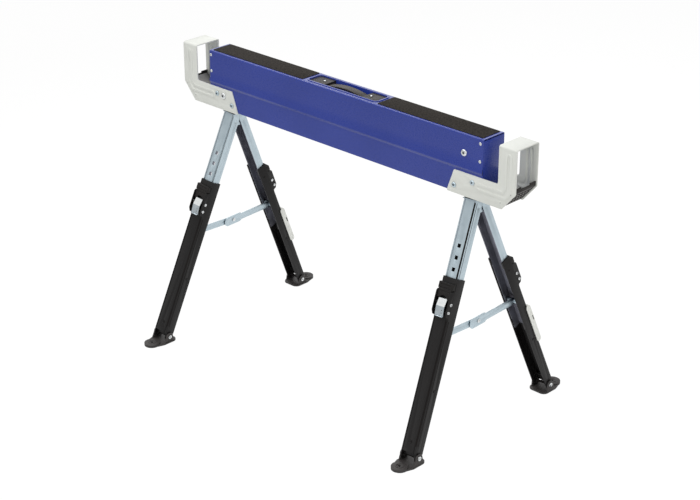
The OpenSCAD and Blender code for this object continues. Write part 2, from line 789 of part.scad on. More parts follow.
module latch_plunger(side, end) color(zinc) at_leg(side, end) translate([0, 0, -latch_u]) {
    rod_y(plunger_d, -plunger_top, drop_gap - upper_back - slide_gap);
    rod_y(plunger_d + 2, -plunger_top, plunger_head - plunger_top);
}

// Folding stay between the legs of a pair, pivoted in the middle just below straight
module link_2d(end) {
    difference() {
        union() {
            slot_2d([0, 0], [link_l, 0], link_h);
            if (end == "rear")
                slot_2d([link_l - link_reach + link_wide / 2, 0], [link_l + link_reach - link_wide / 2, 0], link_wide);
        }
        circle(d = stay_d + 2 * run_gap);
        translate([link_l, 0]) circle(d = stay_d - 1 + 2 * fix_gap);
    }
}

module at_link(side, end) {
    at_pair(side) to_end(end) translate([0, -stay_y, -stay_z]) rotate([-link_a, 0, 0]) children();
}

// The rear link lies on the +X side of both pairs
function link_x(side, end) = (side == "right" ? 1 : -1) * (end == "rear" ? 1 : -1) * (link_gap + link_t / 2);

module stay_link(side, end) color(zinc) at_link(side, end) {
    translate([link_x(side, end), 0, 0]) along_x(link_t) link_2d(end);
    difference() {
        rod_x(2 * eye_r, eye_l);
        rod_x(stay_d + 2 * run_gap, eye_l + 2 * eps);
    }
}

module stay_rivet(side) color(zinc) at_link(side, "rear") translate([link_x(side, "rear"), link_l, 0]) {
    rod_x(stay_d - 1, link_t);
    out = side == "right" ? 1 : -1;
    translate([out * (link_t + bolt_head) / 2, 0, 0]) rod_x(1.5 * stay_d, bolt_head);
}

// Feet: a sole flat on the floor and two lugs on the leaning pin
module foot(side, end) color(black) at_end(side) to_end(end) translate([foot_x, -foot_y, 0]) difference() {
    toe_y = toe_w / 2 - toe_l;
    union() {
        linear_extrude(sole_t) {
            polygon([
                [sole_w / 2, heel_l - heel_r], [sole_w / 2 - heel_r, heel_l], [heel_r - sole_w / 2, heel_l],
                [-sole_w / 2, heel_l - heel_r], [-sole_w / 2, toe_y / 2], [-toe_w / 2, toe_y],
                [toe_w / 2, toe_y], [sole_w / 2, toe_y / 2]
            ]);
            for (s = [-1, 1]) translate([s * (sole_w / 2 - heel_r), heel_l - heel_r]) circle(r = heel_r);
        }
        translate([0, toe_y, 0]) cylinder(d = toe_w, h = toe_t);
        intersection() {
            slab(0, -toe_l, 0, [2 * foot_w, 2 * toe_l, 2 * foot_pin_z]);
            translate([0, 0, foot_pin_z]) rotate([0, -splay, 0])
                for (s = [-1, 1]) translate([s * (lug_x + lug_t / 2), 0, 0]) along_x(lug_t) lug_2d(toe_y / 2);
        }
    }
    translate([0, toe_y, -eps]) cylinder(d = toe_hole, h = toe_t + 2 * eps);
    translate([0, 0, foot_pin_z]) rotate([0, -splay, 0]) rod_x(foot_d + 2 * run_gap, foot_w + 4 * lug_t);
}

module lug_2d(front) {
    circle(r = lug_r);
    polygon([[-lug_r, 0], [lug_r, 0], [heel_l - 0.8 * heel_r, -foot_pin_z - eps], [front, -foot_pin_z - eps]]);
}

// Cord hooks clipped over the outside of the rear lower legs
module cord_hook(side) color(white) at_leg(side, "rear") translate([0, 0, -hook_u]) difference() {
    along_x(lower_w + 2 * (hook_t + drop_gap))
        slot_2d([hook_v, -hook_d / 2], [hook_v, hook_d / 2 - hook_l], hook_d);
    slab(0, -lower_back - fix_gap, -hook_l - eps, [lower_w + 2 * drop_gap, 2 * hook_d, hook_l + 2 * eps]);
    slab(0, hook_slot[1] / 2 - lower_back - hook_out, -0.42 * hook_l, [2 * lower_w, hook_slot[1], hook_slot[0]]);
}

beam_shell();
end_plates();
end_rivets();
grip_pads();
handle_tray();
handle_strap();
handle_caps();
handle_screws();
bracket_bolts();
fold_bolts();
for (side = SIDES) {
    bracket(side);
    bracket_insert(side);
    yoke(side);
    stay_rivet(side);
    cord_hook(side);
}
for (side = SIDES, end = ENDS) {
    upper_leg(side, end);
    upper_leg_pins(side, end);
    lower_leg(side, end);
    lower_leg_pins(side, end);
    latch_cover(side, end);
    latch_lever(side, end);
    latch_plunger(side, end);
    foot(side, end);
    stay_link(side, end);
}
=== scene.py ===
import json
import math
from functools import partial

import bmesh
import bpy
from mathutils import Matrix, Vector


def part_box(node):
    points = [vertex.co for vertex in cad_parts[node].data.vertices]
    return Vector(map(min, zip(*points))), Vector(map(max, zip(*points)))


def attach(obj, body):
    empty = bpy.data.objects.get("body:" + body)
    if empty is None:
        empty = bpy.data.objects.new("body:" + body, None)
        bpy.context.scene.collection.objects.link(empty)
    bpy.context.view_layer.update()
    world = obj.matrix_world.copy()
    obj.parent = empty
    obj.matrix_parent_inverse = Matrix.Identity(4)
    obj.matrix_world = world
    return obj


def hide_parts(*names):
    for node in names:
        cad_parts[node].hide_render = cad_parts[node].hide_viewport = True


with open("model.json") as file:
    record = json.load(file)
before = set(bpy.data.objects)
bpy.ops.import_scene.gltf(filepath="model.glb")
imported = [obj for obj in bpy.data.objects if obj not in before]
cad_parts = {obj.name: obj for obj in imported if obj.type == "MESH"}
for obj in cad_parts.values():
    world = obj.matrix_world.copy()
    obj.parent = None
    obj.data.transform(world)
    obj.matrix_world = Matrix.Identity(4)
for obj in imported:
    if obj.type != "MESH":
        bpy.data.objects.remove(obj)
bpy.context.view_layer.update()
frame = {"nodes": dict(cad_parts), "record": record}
record = frame["record"]
bodyOf = {node: body for body, nodes in record["behaviour"]["bodies"].items() for node in nodes}
slotOf = {part["node"]: part["material_slot"] for part in record["subparts"]}
joints = {joint["name"]: joint for joint in record["behaviour"]["joints"]}
legs = [end + "_" + side for side in ("right", "left") for end in ("front", "rear")]
mm = 0.001
print("frame loaded:", len(frame["nodes"]), "CAD nodes")


# Colours and nodes

def linear(hexText):
    parts = [int(hexText[i:i + 2], 16) / 255 for i in (1, 3, 5)]
    return tuple(c / 12.92 if c <= 0.04045 else ((c + 0.055) / 1.055) ** 2.4 for c in parts) + (1.0,)


def addNode(tree, kind, settings=None, links=None):
    node = tree.nodes.new(kind)
    for name, value in (settings or {}).items():
        if isinstance(name, int) or name in node.inputs:
            node.inputs[name].default_value = value
        else:
            setattr(node, name, value)
    for name, socket in (links or {}).items():
        tree.links.new(socket, node.inputs[name])
    return node


def startFinish(name, settings):
    material = bpy.data.materials.new(name)
    material.use_nodes = True
    tree = material.node_tree
    tree.nodes.clear()
    shader = addNode(tree, "ShaderNodeBsdfPrincipled", settings)
    addNode(tree, "ShaderNodeOutputMaterial", None, {"Surface": shader.outputs[0]})
    place = addNode(tree, "ShaderNodeTexCoord").outputs["Object"]
    return material, tree, shader, place


def endFinish(tree, shader, colour, gloss, bump):
    tree.links.new(colour, shader.inputs["Base Color"])
    tree.links.new(gloss.outputs["Result"], shader.inputs["Roughness"])
    tree.links.new(bump.outputs["Normal"], shader.inputs["Normal"])


def blendColours(tree, factor, stops):
    ramp = addNode(tree, "ShaderNodeValToRGB", None, {"Fac": factor})
    ramp.color_ramp.elements[0].position, ramp.color_ramp.elements[1].position = stops[0][0], stops[-1][0]
    for position, _ in stops[1:-1]:
        ramp.color_ramp.elements.new(position)
    for element, (_, colour) in zip(ramp.color_ramp.elements, stops):
        element.color = linear(colour)
    return ramp.outputs["Color"]


def perMetre(sizeMm):
    return 1000.0 / sizeMm


# Powder coat on steel sheet: polyester melted in an oven, even colour, fine orange peel, satin gloss
def powderCoat(name, dark, light, roughness, peelMm, peelDepthMm, ior=1.5):
    material, tree, shader, place = startFinish(name, {"IOR": ior})
    drift = addNode(tree, "ShaderNodeTexNoise", {"Scale": perMetre(180), "Detail": 3.0}, {"Vector": place})
    peel = addNode(tree, "ShaderNodeTexNoise", {"Scale": perMetre(peelMm), "Detail": 2.0},
                   {"Vector": place})
    colour = blendColours(tree, drift.outputs["Fac"], [(0.3, dark), (0.7, light)])
    gloss = addNode(tree, "ShaderNodeMapRange", {"To Min": roughness - 0.04, "To Max": roughness + 0.06},
                    {"Value": peel.outputs["Fac"]})
    bump = addNode(tree, "ShaderNodeBump", {"Strength": 0.35, "Distance": peelDepthMm * mm},
                   {"Height": peel.outputs["Fac"]})
    endFinish(tree, shader, colour, gloss, bump)
    return material


bluePowderCoat = powderCoat("bluePowderCoat", "#22358a", "#283b94", 0.27, 1.6, 0.05)
whitePowderCoat = powderCoat("whitePowderCoat", "#d6d8d2", "#e0e2dc", 0.45, 1.4, 0.05)
blackPowderCoat = powderCoat("blackPowderCoat", "#0f0d0d", "#151313", 0.45, 1.1, 0.06, 1.34)
# Painted shade: a dull black laid in the grooves, small holes and hole cups and on pins between the walls,
# where there is only shade and no shine
paintedShadeBlack = powderCoat("paintedShadeMatt", "#0d0a0a", "#15110f", 0.7, 1.4, 0.04, 1.25)


# Zinc plate with a clear blue passivate: soft mirror with a milky spangle, with painted shade darkening it in
# its hollows
def zincPlate(name, hollowShade, low, high, roughness, spangleMm):
    material, tree, shader, place = startFinish(name, {"Metallic": 1.0})
    spangle = addNode(tree, "ShaderNodeTexNoise",
                      {"Scale": perMetre(spangleMm), "Detail": 4.0, "Roughness": 0.6}, {"Vector": place})
    fine = addNode(tree, "ShaderNodeTexNoise", {"Scale": perMetre(0.9), "Detail": 2.0}, {"Vector": place})
    # Painted shade: occlusion mixes the colour towards the hollow shade colour in recesses and channels
    occlusionShade = addNode(tree, "ShaderNodeAmbientOcclusion", {"samples": 8, "Distance": 40 * mm})
    colour = blendColours(tree, spangle.outputs["Fac"], [(0.32, low), (0.68, high)])
    depth = addNode(tree, "ShaderNodeMapRange", {"From Min": 0.25, "From Max": 0.62},
                    {"Value": occlusionShade.outputs["AO"]})
    shade = addNode(tree, "ShaderNodeMix", {"data_type": "RGBA", 6: linear(hollowShade)},
                    {0: depth.outputs["Result"], 7: colour})
    gloss = addNode(tree, "ShaderNodeMapRange", {"To Min": roughness - 0.05, "To Max": roughness + 0.06},
                    {"Value": spangle.outputs["Fac"]})
    bump = addNode(tree, "ShaderNodeBump", {"Strength": 0.15, "Distance": 0.03 * mm},
                   {"Height": fine.outputs["Fac"]})
    endFinish(tree, shader, shade.outputs[2], gloss, bump)
    return material


zincSheet = zincPlate("bluePassivatedZinc", "#3a4252", "#bdccd4", "#c9d7de", 0.48, 24)
# Painted shade for the inside of the channels: the zinc drawn greyer and darker, with little shine
shadedZinc = zincPlate("paintedShadeZincInside", "#77757b", "#8a8b94", "#989aa4", 0.5, 24)
# Bright plate on levers and rivets: whiter, with a tighter highlight
brightZinc = zincPlate("brightZinc", "#39414c", "#bcc6cc", "#cbd4d9", 0.42, 12)
rivetSteel = zincPlate("platedRivetSteel", "#30363d", "#dfe3e4", "#eef0f0", 0.36, 5)


# Grit strip: mineral grains in a bitumen binder, brown black and dead matt; 0.8 mm grains drawn at 1.6 mm
# to show
def gritStrip():
    material, tree, shader, place = startFinish("mineralGritStrip", {"Roughness": 0.95, "IOR": 1.3})
    grain = addNode(tree, "ShaderNodeTexVoronoi", {"Scale": perMetre(1.6)}, {"Vector": place})
    patch = addNode(tree, "ShaderNodeTexNoise", {"Scale": perMetre(5), "Detail": 5.0, "Roughness": 0.7},
                    {"Vector": place})
    mix = addNode(tree, "ShaderNodeMath", {"operation": "MULTIPLY_ADD", 1: 0.55},
                  {0: grain.outputs["Distance"], 2: patch.outputs["Fac"]})
    colour = blendColours(tree, mix.outputs["Value"],
                          [(0.35, "#11100f"), (0.7, "#211e1b"), (0.95, "#3b3631")])
    bump = addNode(tree, "ShaderNodeBump", {"Strength": 0.8, "Distance": 0.6 * mm},
                   {"Height": grain.outputs["Distance"]})
    tree.links.new(colour, shader.inputs["Base Color"])
    tree.links.new(bump.outputs["Normal"], shader.inputs["Normal"])
    return material


gritPad = gritStrip()


# Moulded polymer: even body colour with painted shade darkening its corners, and a fine spark-eroded grain of
# about 0.5 mm drawn at 0.9 mm to show
def mouldedPlastic(name, dark, light, roughness, grainMm, ior=1.45):
    material, tree, shader, place = startFinish(name, {"IOR": ior})
    grain = addNode(tree, "ShaderNodeTexNoise", {"Scale": perMetre(grainMm), "Detail": 3.0},
                    {"Vector": place})
    drift = addNode(tree, "ShaderNodeTexNoise", {"Scale": perMetre(40), "Detail": 2.0}, {"Vector": place})
    # Painted shade: occlusion scales the colour down in corners and recesses
    cornerShade = addNode(tree, "ShaderNodeAmbientOcclusion", {"samples": 8, "Distance": 25 * mm})
    depth = addNode(tree, "ShaderNodeMapRange", {"From Min": 0.3, "From Max": 0.8, "To Min": 0.15},
                    {"Value": cornerShade.outputs["AO"]})
    plain = blendColours(tree, drift.outputs["Fac"], [(0.3, dark), (0.7, light)])
    colour = addNode(tree, "ShaderNodeVectorMath", {"operation": "SCALE"},
                     {0: plain, "Scale": depth.outputs["Result"]}).outputs["Vector"]
    gloss = addNode(tree, "ShaderNodeMapRange", {"To Min": roughness - 0.06, "To Max": roughness + 0.08},
                    {"Value": grain.outputs["Fac"]})
    bump = addNode(tree, "ShaderNodeBump", {"Strength": 0.4, "Distance": 0.08 * mm},
                   {"Height": grain.outputs["Fac"]})
    endFinish(tree, shader, colour, gloss, bump)
    return material


blackPlastic = mouldedPlastic("blackPolypropylene", "#262322", "#302c2a", 0.46, 0.9, 1.3)
# Glass-filled nylon of the latch covers: blacker and duller
coverPlastic = mouldedPlastic("blackGlassNylon", "#181615", "#211e1d", 0.5, 0.9, 1.3)
# Painted highlight: the same polypropylene drawn pale, for the lit cell edges of the bracket inserts
paintedHighlightPlastic = mouldedPlastic("paintedHighlightPolypropylene", "#bdbab5", "#cbc8c3", 0.5, 0.9)
# Soft rubber with a coarser grain and a faint sheen along its bow
strapRubber = mouldedPlastic("blackStrapRubber", "#2a2623", "#36312d", 0.42, 1.2, 1.3)
creamPlastic = mouldedPlastic("creamPolypropylene", "#dfe0da", "#e8e9e4", 0.46, 0.9)
# Filled polymer of the feet: a greyer black
footPolymer = mouldedPlastic("blackFootPolymer", "#302d2c", "#3b3736", 0.5, 0.9)

finishOf = {"blue_paint": bluePowderCoat, "white_paint": whitePowderCoat, "black_coat": blackPowderCoat,
            "zinc_plate": zincSheet, "bright_zinc": brightZinc, "bright_rivet": rivetSteel,
            "grit_pad": gritPad, "black_plastic": blackPlastic, "strap_rubber": strapRubber,
            "cream_plastic": creamPlastic}
print("finishes made:", len(finishOf))


# Modelling helpers

def takeUp(obj):
    bpy.ops.object.select_all(action="DESELECT")
    obj.select_set(True)
    bpy.context.view_layer.objects.active = obj


def applyAll(obj):
    takeUp(obj)
    for modifier in list(obj.modifiers):
        bpy.ops.object.modifier_apply(modifier=modifier.name)


def softEdges(obj, widthMm, segments=2, angle=38):
    bevel = obj.modifiers.new("softEdges", "BEVEL")
    bevel.width, bevel.segments = widthMm * mm, segments
    bevel.limit_method, bevel.angle_limit = "ANGLE", math.radians(angle)
    applyAll(obj)


def pickFaces(obj, test):
    if obj.mode == "OBJECT":
        takeUp(obj)
        bpy.ops.object.mode_set(mode="EDIT")
    bpy.ops.mesh.select_mode(type="FACE")
    bpy.ops.mesh.select_all(action="DESELECT")
    shape = bmesh.from_edit_mesh(obj.data)
    for face in shape.faces:
        face.select_set(test(face))
    bmesh.update_edit_mesh(obj.data)


def leaveEdit():
    bpy.ops.mesh.select_all(action="SELECT")
    bpy.ops.mesh.normals_make_consistent(inside=False)
    bpy.ops.object.mode_set(mode="OBJECT")


def finishPiece(obj, body, slot, nodes=(), smoothAngle=40, finish=None):
    takeUp(obj)
    bpy.ops.object.transform_apply(location=True, rotation=True, scale=True)
    bpy.ops.object.shade_smooth_by_angle(angle=math.radians(smoothAngle))
    obj.data.materials.clear()
    obj.data.materials.append(finish or finishOf[slot])
    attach(obj, body)
    if nodes:
        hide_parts(*nodes)


# One model copied to several places, each copy with its own mesh, then joined under one name
def copyTo(model, places, name):
    copies = []
    for place in places:
        copy = bpy.data.objects.new(name, model.data.copy())
        copy.matrix_world = place
        bpy.context.scene.collection.objects.link(copy)
        copies.append(copy)
    takeUp(copies[0])
    for copy in copies:
        copy.select_set(True)
    if len(copies) > 1:
        bpy.ops.object.join()
    return copies[0]


def dropModel(model):
    bpy.data.objects.remove(model, do_unlink=True)


# Places, from the frame

def legPlace(leg):
    out = Vector(joints["plunger_pull_" + leg]["axis"])
    up = -Vector(joints["height_slide_" + leg]["axis"])
    place = Matrix((out.cross(up), out, up)).transposed().to_4x4()
    place.translation = joints["leg_close_" + leg]["pos_m"]
    return place


def onLeg(leg, xMm, outMm, downMm):
    return legPlace(leg) @ Matrix.Translation(Vector((xMm, outMm, -downMm)) * mm)


def solidsOf(node):
    shape = bmesh.new()
    shape.from_mesh(frame["nodes"][node].data)
    bmesh.ops.remove_doubles(shape, verts=shape.verts, dist=0.01 * mm)
    left, groups = set(shape.verts), []
    while left:
        wave, group = [left.pop()], []
        while wave:
            corner = wave.pop()
            group.append(corner.co.copy())
            for edge in corner.link_edges:
                other = edge.other_vert(corner)
                if other in left:
                    left.remove(other)
                    wave.append(other)
        groups.append(group)
    shape.free()
    return groups


# Where a solid ends along an axis: a place there whose Z points outwards
def endPlace(points, axis):
    reach = max(point.dot(axis) for point in points)
    tip = [point for point in points if point.dot(axis) > reach - 0.1 * mm]
    middle = sum(tip, Vector()) / len(tip)
    return Matrix.Translation(middle) @ axis.to_track_quat("Z", "X").to_matrix().to_4x4()


# A pressed or moulded piece straight from its CAD node, with its sharp edges broken
def dressNode(node, name, edgeMm, segments=2, smoothAngle=40, finish=None, shape=None):
    obj = bpy.data.objects.new(name, frame["nodes"][node].data.copy())
    bpy.context.scene.collection.objects.link(obj)
    takeUp(obj)
    bpy.ops.object.mode_set(mode="EDIT")
    bpy.ops.mesh.select_all(action="SELECT")
    bpy.ops.mesh.remove_doubles(threshold=0.01 * mm)
    bpy.ops.mesh.dissolve_limited(angle_limit=math.radians(1.5))
    if shape:
        shape(obj)
    bpy.ops.object.mode_set(mode="OBJECT")
    if edgeMm:
        softEdges(obj, edgeMm, segments)
    finishPiece(obj, bodyOf[node], slotOf[node], [node], smoothAngle, finish)
    return obj


# Fastener heads: a disc stepped up to a crown, with a socket sunk in it where it has one
def modelHead(name, radiusMm, heightMm, crown, socket, sinkMm):
    bpy.ops.object.select_all(action="DESELECT")
    bpy.ops.mesh.primitive_cylinder_add(vertices=32, radius=radiusMm * mm, depth=heightMm * 0.5 * mm)
    head = bpy.context.object
    head.name = name
    pickFaces(head, lambda face: face.normal.z > 0.9)
    bpy.ops.mesh.inset(thickness=radiusMm * (1 - crown) * 0.5 * mm, depth=heightMm * 0.32 * mm)
    bpy.ops.mesh.inset(thickness=radiusMm * (1 - crown) * 0.5 * mm, depth=heightMm * 0.18 * mm)
    if socket:
        bpy.ops.mesh.inset(thickness=radiusMm * (crown - socket) * mm)
        bpy.ops.mesh.inset(thickness=radiusMm * 0.04 * mm, depth=-sinkMm * mm)
    leaveEdit()
    bpy.ops.object.mode_set(mode="EDIT")
    bpy.ops.mesh.select_all(action="SELECT")
    bpy.ops.transform.translate(value=(0, 0, -heightMm * 0.75 * mm))
    bpy.ops.object.mode_set(mode="OBJECT")
    return head


yAxis, zAxis = Vector((0, 1, 0)), Vector((0, 0, 1))
heads = {"endRivet": {"radiusMm": 3.6, "heightMm": 2.0, "crown": 0.6, "socket": 0.28, "sinkMm": 1.4},
         "bracketBolt": {"radiusMm": 6.2, "heightMm": 3.0, "crown": 0.72, "socket": 0.38, "sinkMm": 2.4},
         "foldBolt": {"radiusMm": 8.0, "heightMm": 3.6, "crown": 0.8, "socket": 0.4, "sinkMm": 2.8},
         "handleScrew": {"radiusMm": 2.8, "heightMm": 2.0, "crown": 0.7, "socket": 0.35, "sinkMm": 1.2},
         "pinHead": {"radiusMm": 3.6, "heightMm": 2.0, "crown": 0.55, "socket": 0, "sinkMm": 0},
         "footPinHead": {"radiusMm": 5.0, "heightMm": 2.2, "crown": 0.5, "socket": 0, "sinkMm": 0},
         "stayRivetHead": {"radiusMm": 4.5, "heightMm": 2.2, "crown": 0.5, "socket": 0, "sinkMm": 0}}
headModels = {name: modelHead(name + "Model", **head) for name, head in heads.items()}


def outward(points):
    return yAxis if sum(point.y for point in points) > 0 else -yAxis


replaced = set()
for node, model in (("end_rivets", "endRivet"), ("bracket_bolts", "bracketBolt")):
    places = [endPlace(points, outward(points)) for points in solidsOf(node)]
    finishPiece(copyTo(headModels[model], places, model + "s"), bodyOf[node], slotOf[node], [node])
    replaced.add(node)
node = "fold_bolts"
places = [endPlace(points, axis) for points in solidsOf(node) for axis in (yAxis, -yAxis)]
finishPiece(copyTo(headModels["foldBolt"], places, "foldBolts"), bodyOf[node], slotOf[node], [node])
replaced.add(node)
node = "handle_screws"
places = [endPlace(points, zAxis) for points in solidsOf(node)]
finishPiece(copyTo(headModels["handleScrew"], places, "handleScrews"), bodyOf[node], slotOf[node], [node])
replaced.add(node)
for leg in legs:
    node = "lower_leg_pins_" + leg
    axis = Vector(joints["leg_close_" + leg]["axis"])
    solids = sorted(solidsOf(node), key=lambda points: sum(point.z for point in points) / len(points))
    footPlaces = [endPlace(solids[0], way) for way in (axis, -axis)]
    earPlaces = [endPlace(points, way) for points in solids[1:] for way in (axis, -axis)]
    piece = copyTo(headModels["footPinHead"], footPlaces, "footPinHeads_" + leg)
    finishPiece(piece, bodyOf[node], slotOf[node])
    piece = copyTo(headModels["pinHead"], earPlaces, "earRivets_" + leg)
    finishPiece(piece, bodyOf[node], slotOf[node])
for side in ("right", "left"):
    node = "stay_rivet_" + side
    axis = Vector(joints["leg_close_front_" + side]["axis"])
    places = [endPlace(points, way) for points in solidsOf(node) for way in (axis, -axis)]
    piece = copyTo(headModels["stayRivetHead"], places, "stayRivets_" + side)
    finishPiece(piece, bodyOf[node], slotOf[node])
for model in headModels.values():
    dropModel(model)
print("fasteners made")


# Carrying strap: a rounded section swept along its bow, with flat tails under the caps
strap = {"gripHalf": 61, "tail": 21, "width": 22, "thick": 4.5, "rise": 8, "roundMm": 1.8}


def modelStrap():
    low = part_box("handle_strap")[0].z
    radius = (strap["gripHalf"] ** 2 + strap["rise"] ** 2) / (2 * strap["rise"])
    start = math.asin(strap["gripHalf"] / radius)
    heart = low + (strap["rise"] - radius) * mm
    bpy.ops.object.select_all(action="DESELECT")
    bpy.ops.mesh.primitive_plane_add(size=1, rotation=(0, math.pi / 2, 0),
                                     location=(-strap["gripHalf"] * mm, 0, low + strap["thick"] / 2 * mm))
    obj = bpy.context.object
    obj.name = "carryingStrap"
    obj.scale = (strap["thick"] * mm, strap["width"] * mm, 1)
    bpy.ops.object.transform_apply(location=True, rotation=True, scale=True)
    bpy.ops.object.mode_set(mode="EDIT")
    bpy.ops.mesh.select_all(action="SELECT")
    bpy.ops.mesh.bevel(offset=strap["roundMm"] * mm, segments=3, affect="VERTICES")
    bpy.ops.mesh.select_all(action="SELECT")
    bpy.ops.mesh.spin(steps=28, angle=-2 * start, center=(0, 0, heart), axis=(0, 1, 0))
    bpy.ops.mesh.extrude_region_move(TRANSFORM_OT_translate={"value": (strap["tail"] * mm, 0, 0)})
    near = (1 - strap["gripHalf"]) * mm
    pickFaces(obj, lambda face: abs(face.normal.x) > 0.8 and face.calc_center_median().x < near)
    bpy.ops.mesh.extrude_region_move(TRANSFORM_OT_translate={"value": (-strap["tail"] * mm, 0, 0)})
    leaveEdit()
    return obj


finishPiece(modelStrap(), bodyOf["handle_strap"], slotOf["handle_strap"], ["handle_strap"])
replaced.add("handle_strap")
print("strap made")


# Painted shade lines along one long corner of each leg, dark strips laid where a groove's shade falls: on the
# outer face and round the corner on the wall. The upper legs on the left show only a thin one
right, left = ("front_right", "rear_right"), ("front_left", "rear_left")
shadeLines = {"upperFaceShadeLine": {"part": "upper", "legs": right, "wide": 4.4, "deep": 0.4,
                           "x": -15.4, "out": 11.9, "from": -12, "to": 386},
         "upperWallShadeLine": {"part": "upper", "legs": right, "wide": 0.4, "deep": 1.8,
                           "x": -18.9, "out": 8.6, "from": -12, "to": 386},
         "upperThinShadeLine": {"part": "upper", "legs": left, "wide": 1.4, "deep": 0.4,
                           "x": -16.6, "out": 11.9, "from": -12, "to": 386},
         "lowerFaceShadeLine": {"part": "lower", "legs": legs, "wide": 5.0, "deep": 0.4,
                           "x": -17.1, "out": 14.4, "from": 262, "to": 556},
         "lowerWallShadeLine": {"part": "lower", "legs": legs, "wide": 0.4, "deep": 2.8,
                           "x": -21.4, "out": 10.6, "from": 262, "to": 556}}


def modelShadeLine(name, shadeLine):
    bpy.ops.object.select_all(action="DESELECT")
    bpy.ops.mesh.primitive_cube_add(size=1)
    obj = bpy.context.object
    obj.name = name
    obj.scale = (shadeLine["wide"] * mm, shadeLine["deep"] * mm, (shadeLine["to"] - shadeLine["from"]) * mm)
    bpy.ops.object.transform_apply(scale=True)
    softEdges(obj, min(shadeLine["wide"], shadeLine["deep"]) / 3, 1, 60)
    return obj


for name, shadeLine in shadeLines.items():
    model = modelShadeLine(name + "Model", shadeLine)
    middle = (shadeLine["from"] + shadeLine["to"]) / 2
    for leg in shadeLine["legs"]:
        piece = copyTo(model, [onLeg(leg, shadeLine["x"], shadeLine["out"], middle)], name + "_" + leg)
        finishPiece(piece, bodyOf[shadeLine["part"] + "_leg_" + leg], "black_coat", (), 40, paintedShadeBlack)
    dropModel(model)
print("leg seams made")


# Small lip turned out along the bottom of each latch lever
lip = {"width": 23, "deep": 3.2, "high": 1.8, "out": 24.5, "down": 254, "reach": 1.2, "droop": 0.6,
       "soft": 0.5}


def modelLip():
    bpy.ops.object.select_all(action="DESELECT")
    bpy.ops.mesh.primitive_cube_add(size=1)
    obj = bpy.context.object
    obj.scale = (lip["width"] * mm, lip["deep"] * mm, lip["high"] * mm)
    bpy.ops.object.transform_apply(scale=True)
    pickFaces(obj, lambda face: face.normal.y > 0.9)
    turn = (0, lip["reach"] * mm, -lip["droop"] * mm)
    bpy.ops.mesh.extrude_region_move(TRANSFORM_OT_translate={"value": turn})
    leaveEdit()
    softEdges(obj, lip["soft"], 2)
    return obj


lipModel = modelLip()
for leg in legs:
    node = "latch_lever_" + leg
    piece = copyTo(lipModel, [onLeg(leg, 0, lip["out"], lip["down"])], "leverLip_" + leg)
    finishPiece(piece, bodyOf[node], slotOf[node])
dropModel(lipModel)
print("lever lips made")


# Small holes drawn as dark discs, their darkness painted shade: two in each lever's pad, one high in a wall
# of each lower leg, two in each bracket plate
padHole = {"radius": 0.9, "deep": 0.8, "rim": 0.3, "sink": 0.15, "x": -6,
           "places": ((26.1, 240), (25.4, 246))}
wallHole = {"radius": 2.4, "deep": 0.8, "rim": 0.5, "sink": 0.15, "at": (21.3, -1, 198)}
plateHole = {"radius": 0.9, "deep": 0.8, "rim": 0.3, "sink": 0.15, "out": 38.8,
             "places": ((530.8, 628.9), (501.7, 601.8))}


def modelHole(hole):
    bpy.ops.object.select_all(action="DESELECT")
    bpy.ops.mesh.primitive_cylinder_add(vertices=20, radius=hole["radius"] * mm, depth=hole["deep"] * mm,
                                        rotation=(math.pi / 2, 0, 0))
    obj = bpy.context.object
    bpy.ops.object.transform_apply(rotation=True)
    pickFaces(obj, lambda face: face.normal.y > 0.9)
    bpy.ops.mesh.inset(thickness=hole["rim"] * mm, depth=-hole["sink"] * mm)
    leaveEdit()
    return obj


padModel, wallModel, plateModel = modelHole(padHole), modelHole(wallHole), modelHole(plateHole)
for leg in legs:
    places = [onLeg(leg, padHole["x"], out, down) for out, down in padHole["places"]]
    piece = copyTo(padModel, places, "padHoles_" + leg)
    finishPiece(piece, bodyOf["latch_lever_" + leg], "black_coat", (), 40, paintedShadeBlack)
    places = [onLeg(leg, *wallHole["at"]) @ Matrix.Rotation(-math.pi / 2, 4, "Z")]
    piece = copyTo(wallModel, places, "wallHole_" + leg)
    finishPiece(piece, bodyOf["lower_leg_" + leg], "black_coat", (), 40, paintedShadeBlack)
places = []
for end in (1, -1):
    for x, z in plateHole["places"]:
        place = Matrix.Translation(Vector((end * x, plateHole["out"], z)) * mm)
        places += [place, Matrix.Rotation(math.pi, 4, "Z") @ place]
piece = copyTo(plateModel, places, "plateHoles")
finishPiece(piece, bodyOf["bracket_right"], "black_coat", (), 40, paintedShadeBlack)
for model in (padModel, wallModel, plateModel):
    dropModel(model)
print("small holes made")


# Black plugs in the spare holes of each lower leg: one in the outer face and one in each wall
plug = {"radius": 3.4, "high": 1.2, "slope": 0.8, "rise": 0.2, "lip": 0.5, "dish": 0.6,
        "faceAt": (0, 14.6, 549.8), "wallAt": (21.6, 0, 425.3)}


def modelPlug():
    bpy.ops.object.select_all(action="DESELECT")
    bpy.ops.mesh.primitive_cylinder_add(vertices=28, radius=plug["radius"] * mm, depth=plug["high"] * mm)
    obj = bpy.context.object
    pickFaces(obj, lambda face: face.normal.z > 0.9)
    bpy.ops.mesh.inset(thickness=plug["slope"] * mm, depth=plug["rise"] * mm)
    bpy.ops.mesh.inset(thickness=plug["lip"] * mm, depth=-plug["dish"] * mm)
    leaveEdit()
    return obj


plugModel = modelPlug()
for leg in legs:
    across = Matrix.Rotation(math.pi / 2, 4, "Y")
    x, out, down = plug["wallAt"]
    places = [onLeg(leg, *plug["faceAt"]) @ Matrix.Rotation(-math.pi / 2, 4, "X"),
              onLeg(leg, x, out, down) @ across,
              onLeg(leg, -x, out, down) @ across.inverted()]
    piece = copyTo(plugModel, places, "holePlugs_" + leg)
    finishPiece(piece, bodyOf["lower_leg_" + leg], "black_coat", (), 30)
dropModel(plugModel)
print("hole plugs made")


